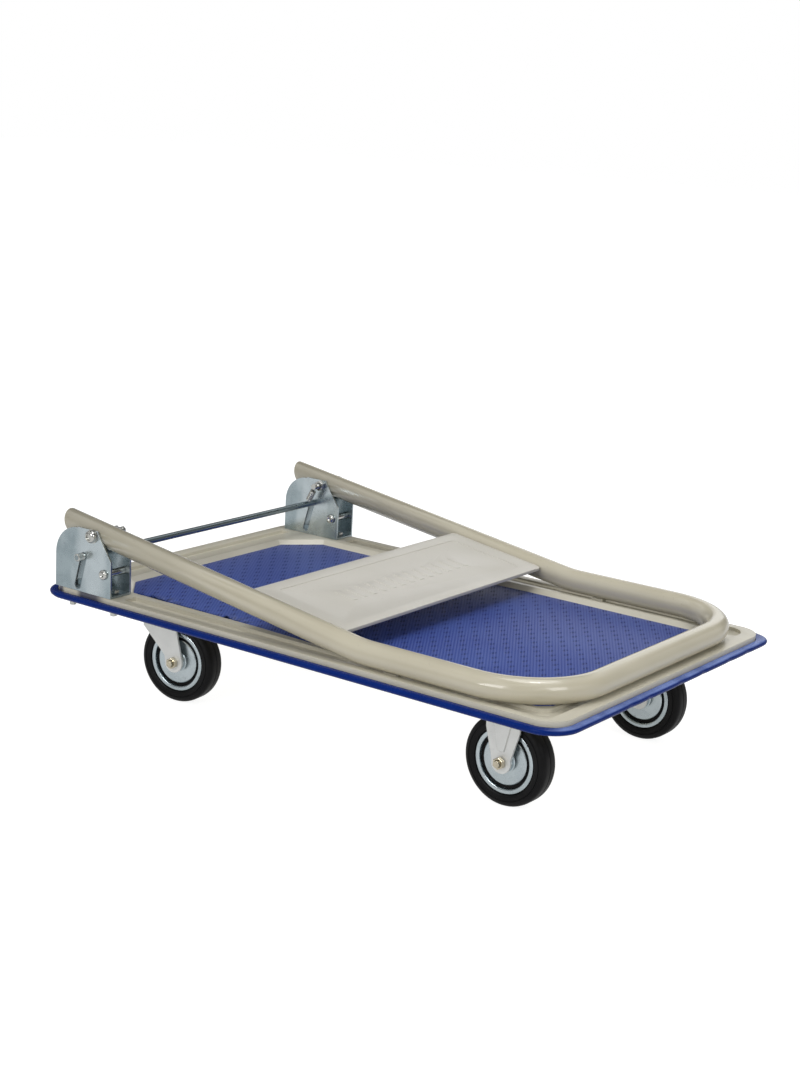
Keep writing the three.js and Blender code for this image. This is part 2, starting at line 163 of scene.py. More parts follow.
class Graph:
    """Node tree of one material, with a single way to add nodes."""

    def __init__(self, name: str) -> None:
        """Start an empty material of the given name."""
        self.material = bpy.data.materials.new(name)
        self.material.use_nodes = True
        self.tree = self.material.node_tree
        self.tree.nodes.clear()

    def node(self, kind: str, settings: dict | None = None, sockets: dict | None = None) -> Node:
        """Add a node.

        Args:
            kind: The node's type name.
            settings: Attributes, set before the sockets.
            sockets: Values or signals by socket name or index.

        Returns:
            The new node.
        """
        made = self.tree.nodes.new(kind)
        for key, value in (settings or {}).items():
            setattr(made, key, value)
        for key, value in (sockets or {}).items():
            target = made.inputs[key]
            if isinstance(value, Signal):
                self.tree.links.new(value.socket, target)
            else:
                target.default_value = value
        return made

    def add(self, kind: str, settings: dict | None = None, sockets: dict | None = None,
            output: int | str = 0) -> Signal:
        """Add a node and return one of its outputs as a signal."""
        return Signal(self, self.node(kind, settings, sockets).outputs[output])

    def place(self) -> Signal:
        """Object coordinates."""
        return self.add("ShaderNodeTexCoord", output="Object")

    def axes(self) -> tuple[Signal, Signal, Signal]:
        """Object coordinates as three separate signals."""
        split = self.node("ShaderNodeSeparateXYZ", sockets={0: self.place()})
        return tuple(Signal(self, split.outputs[i]) for i in range(3))

    def noise(self, scale: float, detail: float = 3.0, roughness: float = 0.5,
              stretch: Sequence[float] = (1.0, 1.0, 1.0)) -> Signal:
        """Fractal noise on Object coordinates.

        Args:
            scale: Cells per metre.
            detail: Octaves.
            roughness: Weight of the fine octaves.
            stretch: Factors on the three axes.

        Returns:
            The noise, from 0 to 1.
        """
        vector = self.add("ShaderNodeMapping", sockets={"Vector": self.place(), "Scale": tuple(stretch)})
        return self.add("ShaderNodeTexNoise", sockets={
            "Vector": vector, "Scale": scale, "Detail": detail, "Roughness": roughness})

    def blend(self, factor: "Signal | float", first: object, second: object) -> Signal:
        """Mix two colours by a factor."""
        made = self.node("ShaderNodeMix", {"data_type": "RGBA"}, {"Factor": factor, 6: first, 7: second})
        return Signal(self, made.outputs[2])

    def bump(self, height: Signal, strength: float, distance: float) -> Signal:
        """Normal disturbed by a height."""
        sockets = {"Height": height, "Strength": strength, "Distance": distance}
        return self.add("ShaderNodeBump", sockets=sockets)

    def output(self, sockets: dict) -> bpy.types.Material:
        """Close the graph with a Principled shader.

        Args:
            sockets: The shader's sockets.

        Returns:
            The finished material.
        """
        shader = self.add("ShaderNodeBsdfPrincipled", sockets=sockets)
        self.node("ShaderNodeOutputMaterial", sockets={"Surface": shader})
        return self.material


Colour = tuple[float, float, float, float]


@dataclass(frozen=True)
class EnamelPaint:
    """Stove enamel with faint orange peel, soft tone drift, fine specks and, on the tray, pale streaks by the
    handle rests, partly wear and partly painted highlight, and painted shade under the brackets.
    """

    name: str
    colour: Colour
    shade: Colour
    roughness: float
    coat: float = 0.6
    tray: bool = False

    def build(self) -> bpy.types.Material:
        """Return the material."""
        g = Graph(self.name)
        drift = g.noise(9.0, 2.0).ramp(0.3, 0.7)
        specks = g.noise(260.0, 2.0).ramp(0.66, 0.76)
        colour = g.blend(drift, self.colour, self.shade)
        colour = g.blend(specks * 0.12, colour, (0.2, 0.17, 0.12, 1.0))
        if self.tray:
            colour = self._wear(g, colour)
        peel = g.noise(420.0, 2.0)
        rough = g.noise(60.0, 3.0) * 0.05 + (self.roughness - 0.02)
        return g.output({
            "Base Color": colour, "Roughness": rough, "Coat Weight": self.coat, "Coat Roughness": 0.08,
            "Normal": g.bump(peel, 0.025, 0.0005)})

    @staticmethod
    def _wear(g: Graph, colour: Signal) -> Signal:
        """Pale streaks where the handle rests, partly rubbed paint and partly painted highlight, and painted shade
        in the joint under the brackets.
        """
        x, y, _ = g.axes()
        out = abs(y)
        lane = (out > 196 * MM) * (out < 222 * MM) * (x > 70 * MM) * (x < 250 * MM)
        # Pale streaks by the handle rests: partly rubbed paint, partly painted highlight.
        wear_and_highlight_streak = g.noise(150.0, 3.0, 0.6, (0.22, 1.6, 1.0)).ramp(0.56, 0.64)
        colour = g.blend(wear_and_highlight_streak * lane * 0.75, colour, (0.80, 0.78, 0.75, 1.0))
        # Painted shade: dark navy on the tray's edge under each bracket's base, where the plate shades it, with a
        # short cream gap left unshaded.
        joint = (out > 226 * MM) * x.ramp(-352 * MM, -345 * MM) * x.ramp(-262 * MM, -282 * MM)
        unshaded_gap = x.ramp(-338 * MM, -331 * MM) * x.ramp(-303 * MM, -314 * MM)
        return g.blend(joint * (1.0 - unshaded_gap) * 0.88, colour, (0.006, 0.011, 0.05, 1.0))


@dataclass(frozen=True)
class ZincPlate:
    """Zinc plating with cloudy tone, fine drawing lines, dull patches and, where given, broad bands of painted
    sheen.
    """

    name: str
    colour: Colour
    cloud: Colour
    roughness: float
    metallic: float
    grain: tuple[float, float, float] = (1.0, 1.0, 8.0)
    sheen: float = 0.0

    def build(self) -> bpy.types.Material:
        """Return the material."""
        g = Graph(self.name)
        cloud = g.noise(38.0, 4.0, 0.6).ramp(0.32, 0.7)
        lines = g.noise(300.0, 3.0, 0.6, self.grain)
        spangle = g.noise(700.0, 2.0, 0.6, self.grain).ramp(0.35, 0.65)
        spots = g.noise(150.0, 2.0).ramp(0.68, 0.78)
        # Painted sheen: broad pale bands that stand in for soft highlights on the plates.
        highlight_band = g.noise(17.0, 3.0, 0.55, (1.0, 1.0, 0.45)).ramp(0.40, 0.62)
        colour = g.blend(cloud * 0.6 + spangle * 0.4, self.colour, self.cloud)
        colour = g.blend(spots * 0.35, colour, (0.16, 0.17, 0.18, 1.0))
        colour = g.blend(highlight_band * self.sheen, colour, (0.80, 0.87, 0.90, 1.0))
        rough = lines * 0.16 + cloud * 0.08 + (self.roughness - 0.1)
        return g.output({
            "Base Color": colour, "Metallic": self.metallic, "Roughness": rough,
            "Normal": g.bump(lines, 0.05, 0.0004)})


@dataclass(frozen=True)
class SoftRubber:
    """Moulded rubber or soft vinyl with a light bloom and scuffs and, where a highlight colour is given, a painted
    highlight on the top face at the front end.
    """

    name: str
    colour: Colour
    bloom: Colour
    roughness: float
    specular: float = 0.25
    texture: float = 0.12
    stretched: Colour | None = None

    def build(self) -> bpy.types.Material:
        """Return the material."""
        g = Graph(self.name)
        bloom = g.noise(45.0, 4.0, 0.6).ramp(0.45, 0.8)
        scuff = g.noise(500.0, 3.0, 0.7)
        colour = g.blend(bloom * 0.6, self.colour, self.bloom)
        if self.stretched:
            # Painted highlight: the strip's top face paler towards the front end.
            x, _, z = g.axes()
            pale = (x - z * 1.5).ramp(150 * MM, 172 * MM) * z.ramp(127.6 * MM, 129.0 * MM)
            colour = g.blend(pale * (g.noise(24.0, 2.0).ramp(0.3, 0.6) * 0.5 + 0.5), colour, self.stretched)
        rough = scuff * 0.2 + (self.roughness - 0.1)
        return g.output({
            "Base Color": colour, "Roughness": rough, "Specular IOR Level": self.specular,
            "Normal": g.bump(scuff, self.texture, 0.0004)})


@dataclass(frozen=True)
class EmbossedVinyl:
    """Sheet vinyl pressed with a fine slanted weave and staggered clusters of dark ticks."""

    name: str = "blue_vinyl"
    ground: Colour = (0.022, 0.048, 0.25, 1.0)
    worn: Colour = (0.040, 0.076, 0.30, 1.0)
    ridge: Colour = (0.115, 0.165, 0.44, 1.0)
    tick: Colour = (0.010, 0.018, 0.10, 1.0)
    cell: tuple[float, float] = (20.7 * MM, 27.0 * MM)
    phase: tuple[float, float] = (0.225, -0.222)
    cluster: tuple[float, float] = (3.2 * MM, 5.4 * MM)
    weave_pitch: float = 3.45 * MM
    weave_lean: tuple[float, float] = (0.848, 0.53)
    lifted_edge: float = 186 * MM

    def build(self) -> bpy.types.Material:
        """Return the material."""
        g = Graph(self.name)
        x, y, _ = g.axes()
        spot = self._cluster(x, y, 0.0).largest(self._cluster(x, y, 0.5))
        lean_x, lean_y = self.weave_lean
        warp = self._lines(x * lean_x + y * lean_y)
        weft = self._lines(x * lean_x - y * lean_y)
        cloud = g.noise(10.0, 3.0).ramp(0.3, 0.75)
        ground = g.blend(cloud, self.ground, self.worn)
        ground = g.blend(warp * 0.34 + weft * 0.12, ground, self.ridge)
        ticks = spot * (1.0 - warp * 0.75)
        colour = g.blend(ticks * 0.7, ground, self.tick)
        grain = g.noise(1500.0, 2.0)
        height = warp * 0.5 + weft * 0.3 - ticks * 0.7 + grain * 0.25 + self._folds(x, y) * 16.0
        rough = grain * 0.12 + ticks * 0.12 + 0.36
        return g.output({
            "Base Color": colour, "Roughness": rough, "Specular IOR Level": 0.3,
            "Normal": g.bump(height, 0.55, 0.0005)})

    def _cluster(self, x: Signal, y: Signal, shift: float) -> Signal:
        """Soft oval in the middle of every cell, the cells moved by a shift along both sides."""
        oval = None
        for at, size, start, reach in zip((x, y), self.cell, self.phase, self.cluster):
            away = ((at / size + (start + shift)).fraction() - 0.5) * (size / reach)
            oval = away * away if oval is None else oval + away * away
        return oval.ramp(1.25, 0.35)

    def _folds(self, x: Signal, y: Signal) -> Signal:
        """Folds fanning out from the two lifted spots on the edge."""
        fold: Signal | float = 0.0
        for tunnel in MAT_TUNNELS:
            along, inwards = x - tunnel * MM, y + self.lifted_edge
            near = ((along * along) / (46 * MM) ** 2 + (inwards * inwards) / (38 * MM) ** 2).ramp(1.0, 0.0)
            fan = inwards.angle(along - 9 * MM)
            fold = (fan * 9.0).sine() * near * near + fold
        return fold

    def _lines(self, across: Signal) -> Signal:
        """Soft parallel ridges across a direction."""
        return abs((across / self.weave_pitch).fraction() - 0.5).ramp(0.14, 0.36)


@dataclass(frozen=True)
class StudioSurface:
    """Plain matt surface of the floor, pale to the eye and darker in reflections."""

    name: str = "studio_floor"
    colour: Colour = (0.35, 0.35, 0.35, 1.0)
    seen: Colour = (1.0, 1.0, 1.0, 1.0)
    reflected: Colour = (0.50, 0.50, 0.50, 1.0)
    glow: float = 0.9

    def build(self) -> bpy.types.Material:
        """Return the material."""
        g = Graph(self.name)
        light = g.blend(g.add("ShaderNodeLightPath", output="Is Camera Ray"), self.reflected, self.seen)
        return g.output({
            "Base Color": self.colour, "Roughness": 0.9, "Emission Color": light,
            "Emission Strength": self.glow})


class Finish(Enum):
    """The finishes of the truck, each built once."""

    CREAM = EnamelPaint("cream_paint", (0.565, 0.525, 0.405, 1.0), (0.525, 0.485, 0.37, 1.0), 0.24)
    TRAY = EnamelPaint("tray_paint", (0.61, 0.58, 0.48, 1.0), (0.56, 0.53, 0.43, 1.0), 0.32, 0.25, True)
    PANEL = EnamelPaint("panel_paint", (0.63, 0.61, 0.555, 1.0), (0.58, 0.56, 0.50, 1.0), 0.40, 0.12)
    VINYL = EmbossedVinyl()
    # The strip's last colour is its painted highlight on the top face at the front end.
    BUMPER = SoftRubber(
        "blue_bumper", (0.0006, 0.017, 0.155, 1.0), (0.002, 0.026, 0.20, 1.0), 0.26, 0.10, 0.03,
        (0.16, 0.23, 0.52, 1.0))
    # The last number is the strength of the painted sheen on the plates.
    ZINC = ZincPlate(
        "zinc_plate", (0.42, 0.50, 0.53, 1.0), (0.30, 0.37, 0.40, 1.0), 0.24, 1.0, (1.0, 1.0, 8.0), 0.48)
    FORK = ZincPlate("fork_plate", (0.76, 0.77, 0.76, 1.0), (0.67, 0.68, 0.67, 1.0), 0.33, 0.4)
    # Zinc painted darker as shade, for the foot bar and slot burrs that reflect dark surroundings.
    ROD = ZincPlate(
        "rod_steel", (0.32, 0.38, 0.40, 1.0), (0.24, 0.295, 0.32, 1.0), 0.28, 1.0, (1.0, 0.1, 1.0))
    BRIGHT = ZincPlate("bright_steel", (0.66, 0.66, 0.62, 1.0), (0.46, 0.47, 0.46, 1.0), 0.18, 1.0)
    AXLE = ZincPlate("axle_steel", (0.70, 0.64, 0.50, 1.0), (0.42, 0.38, 0.29, 1.0), 0.2, 1.0)
    TYRE = SoftRubber("black_rubber", (0.004, 0.004, 0.0045, 1.0), (0.011, 0.011, 0.012, 1.0), 0.40, 0.16)
    DISC = ZincPlate("wheel_plate", (0.60, 0.67, 0.70, 1.0), (0.48, 0.55, 0.58, 1.0), 0.24, 1.0)
    BUSH = SoftRubber("bush_plastic", (0.03, 0.03, 0.03, 1.0), (0.05, 0.05, 0.05, 1.0), 0.5)

    @property
    def material(self) -> bpy.types.Material:
        """The material, made on first use."""
        return bpy.data.materials.get(self.value.name + "_finish") or self._make()

    def _make(self) -> bpy.types.Material:
        """Build and name the material."""
        made = self.value.build()
        made.name = self.value.name + "_finish"
        return made

    @property
    def slot(self) -> str:
        """The record's material slot for this finish."""
        shared = {
            Finish.TRAY: Finish.CREAM, Finish.FORK: Finish.ZINC, Finish.ROD: Finish.ZINC,
            Finish.AXLE: Finish.BRIGHT}
        return shared.get(self, self).value.name


# ---------------------------------------------------------------------------
# Modelling
# ---------------------------------------------------------------------------


class Form:
    """A mesh being shaped with bmesh operators."""

    def __init__(self) -> None:
        """Start with an empty mesh."""
        self.bm = bmesh.new()

    def turn(self, profile: Sequence[tuple[float, float]], segments: int = 48, closed: bool = True,
             place: Matrix = Matrix()) -> "Form":
        """Spin a profile about the Y axis.

        Args:
            profile: Points as (radius, position along Y), in millimetres.
            segments: Steps in the full turn.
            closed: Whether the last point joins the first.
            place: Where the turned shape goes.

        Returns:
            This form.
        """
        verts = [self.bm.verts.new((r * MM, y * MM, 0.0)) for r, y in profile]
        pairs = list(zip(verts, verts[1:]))
        if closed:
            pairs.append((verts[-1], verts[0]))
        edges = [self.bm.edges.new(pair) for pair in pairs]
        before = set(self.bm.verts) - set(verts)
        bmesh.ops.spin(self.bm, geom=verts + edges, cent=(0, 0, 0), axis=(0, 1, 0), angle=FULL_TURN,
                       steps=segments, use_merge=True)
        made = [v for v in self.bm.verts if v not in before]
        bmesh.ops.transform(self.bm, matrix=place, verts=made)
        bmesh.ops.remove_doubles(self.bm, verts=made, dist=1e-6)
        return self

    def prism(self, sides: int, radius: float, y0: float, y1: float, place: Matrix) -> "Form":
        """Add a prism along Y.

        Args:
            sides: Number of flats.
            radius: Radius to the corners, in millimetres.
            y0: Start along Y, in millimetres.
            y1: End along Y, in millimetres.
            place: Where the prism goes.

        Returns:
            This form.
        """
        stand = Matrix.Translation((0, (y0 + y1) / 2 * MM, 0)) @ Matrix.Rotation(math.pi / 2, 4, "X")
        bmesh.ops.create_cone(
            self.bm, cap_ends=True, segments=sides, radius1=radius * MM, radius2=radius * MM,
            depth=(y1 - y0) * MM, matrix=place @ stand)
        return self

    def copy_of(self, node: str, ease: float, segments: int = 2, sharper_than: float = 28.0,
                edge_highlight: bool = False) -> "Form":
        """Start from a frame node's shape, merge it to neat faces and ease its sharp edges.

        Args:
            node: Name of the frame's node.
            ease: Width of the eased edge, in millimetres.
            segments: Steps in the eased edge.
            sharper_than: Edges that turn more than this many degrees are eased.
            edge_highlight: Whether the eased edges take the object's second finish.

        Returns:
            This form.
        """
        self.bm.from_mesh(frame["nodes"][node].data)
        bmesh.ops.remove_doubles(self.bm, verts=self.bm.verts[:], dist=2e-6)
        bmesh.ops.dissolve_limit(self.bm, angle_limit=math.radians(1.5), verts=self.bm.verts[:],
                                 edges=self.bm.edges[:], use_dissolve_boundaries=False)
        limit = math.radians(sharper_than)
        sharp = [e for e in self.bm.edges if e.is_manifold and e.calc_face_angle(0.0) > limit]
        if ease > 0:
            # Eased edges can take the second finish, a painted highlight along the edges.
            bmesh.ops.bevel(self.bm, geom=sharp, offset=ease * MM, offset_type="OFFSET", segments=segments,
                            profile=0.5, affect="EDGES", clamp_overlap=True, material=1 if edge_highlight else -1)
        return self

    def finish(self, name: str, body: str, look: Finish, replaces: Iterable[str] = (), smooth: float = 35.0,
               mend: bool = True, edge_highlight: Finish | None = None) -> bpy.types.Object:
        """Turn the form into a finished object that rides on a body.

        Args:
            name: The object's name.
            body: Body that it rides on.
            look: Its finish.
            replaces: Frame nodes that it stands for.
            smooth: Edges that turn less than this many degrees are shaded smooth.
            mend: Whether doubles are merged and normals recalculated.
            edge_highlight: Finish of the eased edges.

        Returns:
            The object.
        """
        if mend:
            bmesh.ops.remove_doubles(self.bm, verts=self.bm.verts[:], dist=1e-6)
            bmesh.ops.recalc_face_normals(self.bm, faces=self.bm.faces[:])
        mesh = bpy.data.meshes.new(name)
        self.bm.to_mesh(mesh)
        self.bm.free()
        mesh.shade_smooth()
        mesh.set_sharp_from_angle(angle=math.radians(smooth))
        made = bpy.data.objects.new(name, mesh)
        bpy.context.scene.collection.objects.link(made)
        for finish in (look, edge_highlight) if edge_highlight else (look,):
            mesh.materials.append(finish.material)
        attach(made, body)
        if replaces:
            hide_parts(*replaces)
        LOG.info("%s: %d faces on %s", name, len(mesh.polygons), body)
        return made


class TubeWalk:
    """Sweeps a ring along straight runs and bends."""

    def __init__(self, form: Form, start: Vector, heading: Vector, radius: float, segments: int) -> None:
        """Place the first ring.

        Args:
            form: The form that receives the tube.
            start: Centre of the first ring, in metres.
            heading: Direction of travel.
            radius: Radius of the tube, in metres.
            segments: Sides of the ring.
        """
        self.bm = form.bm
        self.at = start.copy()
        self.heading = heading.normalized()
        turn = self.heading.to_track_quat("Z", "Y").to_matrix().to_4x4()
        made = bmesh.ops.create_circle(self.bm, cap_ends=False, radius=radius, segments=segments,
                                       matrix=Matrix.Translation(start) @ turn)["verts"]
        self.ring = list({e for v in made for e in v.link_edges})

    def straight(self, length: float) -> "TubeWalk":
        """Extrude the ring forwards."""
        made = bmesh.ops.extrude_edge_only(self.bm, edges=self.ring)["geom"]
        verts = [g for g in made if isinstance(g, bmesh.types.BMVert)]
        self.ring = [g for g in made if isinstance(g, bmesh.types.BMEdge)]
        bmesh.ops.translate(self.bm, vec=self.heading * length, verts=verts)
        self.at = self.at + self.heading * length
        return self

    def bend(self, towards: Vector, radius: float, angle: float, steps: int) -> "TubeWalk":
        """Spin the ring round a bend.

        Args:
            towards: Direction from the ring to the bend's centre.
            radius: Radius of the bend, in metres.
            angle: Turn, in radians.
            steps: Steps in the bend.

        Returns:
            This walk.
        """
        inward = (towards - self.heading * towards.dot(self.heading)).normalized()
        centre = self.at + inward * radius
        axis = self.heading.cross(inward).normalized()
        verts = list({v for e in self.ring for v in e.verts})
        made = bmesh.ops.spin(
            self.bm, geom=verts + self.ring, cent=centre, axis=axis, angle=angle, steps=steps)
        self.ring = [g for g in made["geom_last"] if isinstance(g, bmesh.types.BMEdge)]
        rotation = Matrix.Rotation(angle, 3, axis)
        self.at = centre + rotation @ (self.at - centre)
        self.heading = rotation @ self.heading
        return self


def centre_of(node: str) -> Vector:
    """Middle of a frame node's box."""
    low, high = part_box(node)
    return (low + high) / 2


# ---------------------------------------------------------------------------
# Sub-assemblies
# ---------------------------------------------------------------------------


@dataclass
class Deck:
    """Pressed tray, mat, bumper strip and stiffeners."""

    body: str = "deck"
    corner_steps: int = 14
    edge_span: tuple[float, float] = (-254.0, -70.0)
    front_steps: int = 160
    point_pull: float = 11.0
    dent_depth: float = 0.8
    dents: tuple[tuple[float, float], ...] = (
        (-96.0, 8.0), (-58.0, 6.0), (12.0, 9.0), (64.0, 7.0), (128.0, 8.0), (172.0, 7.0))
    strip_corner: float = 39.0
    strip_width: float = 10.0
    wall_gap: float = 0.4
    strip_section: tuple[tuple[float, float], ...] = (
        (-2.0, 121.9), (4.0, 121.7), (7.2, 122.4), (9.3, 124.2), (10.0, 126.4), (9.2, 128.1), (7.4, 129.1),
        (4.5, 129.4))

    def build(self) -> None:
        """Make every piece of the deck."""
        self.tray()
        self.mat()
        self.bumper()
        for end in End:
            name = f"stiffener_{end.value}"
            Form().copy_of(name, 0.8).finish(f"{name}_pressing", self.body, Finish.TRAY, [name], mend=False)

    def tray(self) -> None:
        """Tray with rolled edges."""
        Form().copy_of("deck_tray", 1.0, 3, 12.0).finish(
            "deck_tray_pressing", self.body, Finish.TRAY, ["deck_tray"], 50.0, mend=False)

    def mat(self) -> None:
        """Mat sheet lying in the recess."""
        Form().copy_of("deck_mat", 0.45, 2, 40.0).finish(
            "deck_mat_sheet", self.body, Finish.VINYL, ["deck_mat"], 50.0, mend=False)
        self.lifted_edge()

    def lifted_edge(self) -> None:
        """Edge of the mat that rides up the recess's slope, with two small tunnels in it."""
        form = Form()
        verts = bmesh.ops.create_grid(form.bm, x_segments=260, y_segments=8, size=0.5)["verts"]
        rear, front = self.edge_span
        for vert in verts:
            along, across = vert.co.x + 0.5, 0.5 - vert.co.y
            x = rear + (front - rear) * along
            width = 10.4 - 6.0 * along + 0.5 * math.sin(x / 9.0)
            rise = (max(0.0, across - 0.12) / 0.88) ** 1.2 * width * 0.62
            for tunnel in MAT_TUNNELS:
                away = (x - tunnel) / 5.0
                rise += 2.6 * math.exp(-away * away) * across
                fold = math.exp(-((x - tunnel) / 20.0) ** 2)
                rise += 0.55 * math.sin((x - tunnel) / 2.6 + across * 2.0) * fold * (0.35 + 0.65 * across)
            vert.co = Vector((x, -(178.6 + width * across), 130.25 + rise)) * MM
        sheet = form.finish("deck_mat_lifted_edge", self.body, Finish.VINYL, smooth=70.0)
        thick = sheet.modifiers.new("sheet", "SOLIDIFY")
        thick.thickness = 0.4 * MM

    def bumper(self) -> None:
        """Soft strip with a rounded outer face, lofted round the tray."""
        half_x, half_y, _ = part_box("deck_bumper")[1]
        form = Form()
        rings = []
        for reach, z in ((self.wall_gap, 122.4), (self.wall_gap, 129.0)) + self.strip_section[::-1]:
            rings.append(self._ring(form, half_x, half_y, reach, z))
        rings.append(rings[0])
        for first, second in zip(rings, rings[1:]):
            bmesh.ops.bridge_loops(form.bm, edges=first + second)
        form.finish("deck_bumper_strip", self.body, Finish.BUMPER, ["deck_bumper"], 60.0)

    def _ring(self, form: Form, half_x: float, half_y: float, reach: float, z: float) -> list:
        """Closed loop round the deck, pulled to a point at the far front corner and dented along the front.

        Args:
            form: The form that receives the loop.
            half_x: Half length of the strip's outside, in metres.
            half_y: Half width of the strip's outside, in metres.
            reach: How far the loop stands out from the tray's wall, in millimetres.
            z: Height, in millimetres.

        Returns:
            The loop's edges.
        """
        inset = (self.strip_width - reach) * MM
        pull = max(0.0, reach - self.wall_gap) / (self.strip_width - self.wall_gap)
        loop = []
        for cx, cy, start in ((1, 1, 0.0), (-1, 1, 0.25), (-1, -1, 0.5), (1, -1, 0.75)):
            corner = (self.strip_corner - (self.point_pull * pull if cx == cy == 1 else 0.0)) * MM
            for step in range(self.corner_steps + 1):
                angle = (start + 0.25 * step / self.corner_steps) * FULL_TURN
                loop.append(form.bm.verts.new((
                    cx * (half_x - corner) + (corner - inset) * math.cos(angle),
                    cy * (half_y - corner) + (corner - inset) * math.sin(angle), z * MM)))
        first, last = loop[0].co.copy(), loop[-1].co.copy()
        for step in range(1, self.front_steps):
            spot = last.lerp(first, step / self.front_steps)
            dent = sum(math.exp(-((spot.y / MM - y) / wide) ** 2) for y, wide in self.dents)
            spot.x -= min(1.0, dent) * self.dent_depth * pull * MM
            loop.append(form.bm.verts.new(spot))
        return [form.bm.edges.new((a, b)) for a, b in zip(loop, loop[1:] + loop[:1])]


